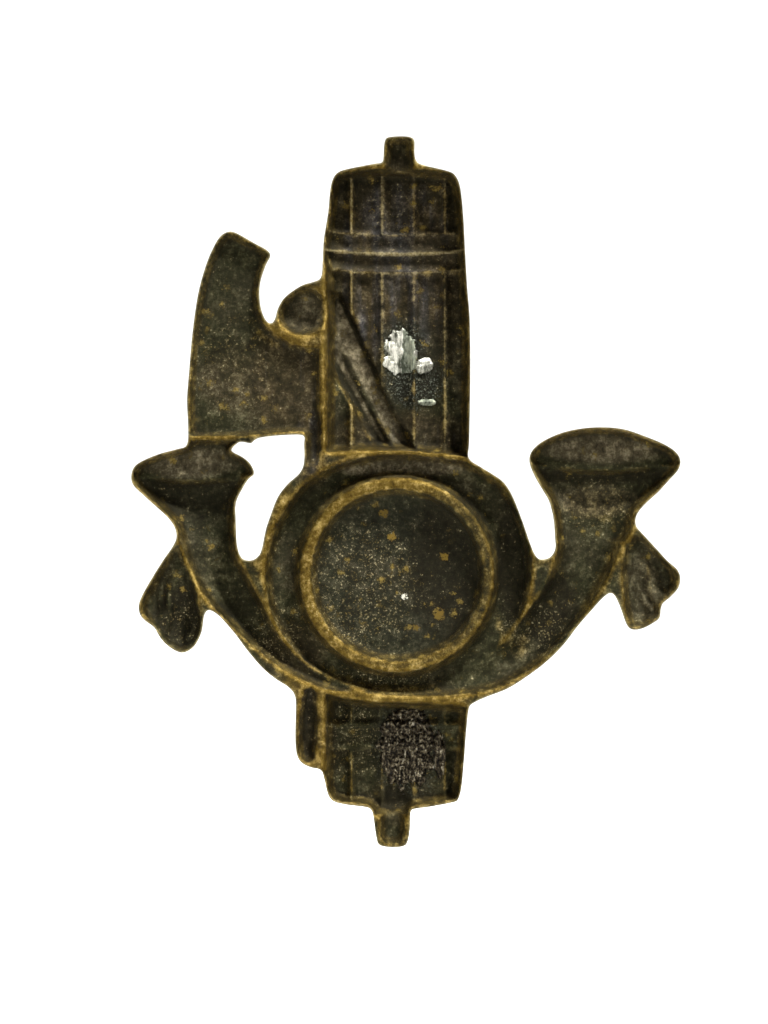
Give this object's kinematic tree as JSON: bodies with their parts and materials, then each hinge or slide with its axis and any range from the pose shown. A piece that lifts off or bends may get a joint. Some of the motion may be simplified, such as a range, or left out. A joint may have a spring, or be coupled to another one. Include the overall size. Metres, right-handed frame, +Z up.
{
  "type": "cap badge",
  "caption": "Die-struck sheet brass cap badge: a horn and ring over a bundle of rods with an axe, hollow at the back, with solder left by its lost fixings.",
  "frame": {"origin": "centre of the round recess on the plane of the back edge, where the badge lies on the cap", "axes": "+Z up through the top finial as worn; +Y out of the hollow back, towards the cap; the decorated front faces -Y"},
  "size_m": [0.0506, 0.0034, 0.065],
  "materials": {
    "patinated_brass": "dark patina, worn to bare brass on the crests",
    "solder": "soft solder, broken bright and tarnished grey"
  },
  "bodies": {
    "root": {"struck_shell": "patinated_brass", "upper_solder_pad": "solder", "upper_solder_crumb": "solder", "upper_solder_bead": "solder", "lower_solder_pad": "solder", "lower_solder_bead": "solder"}
  },
  "joints": []
}
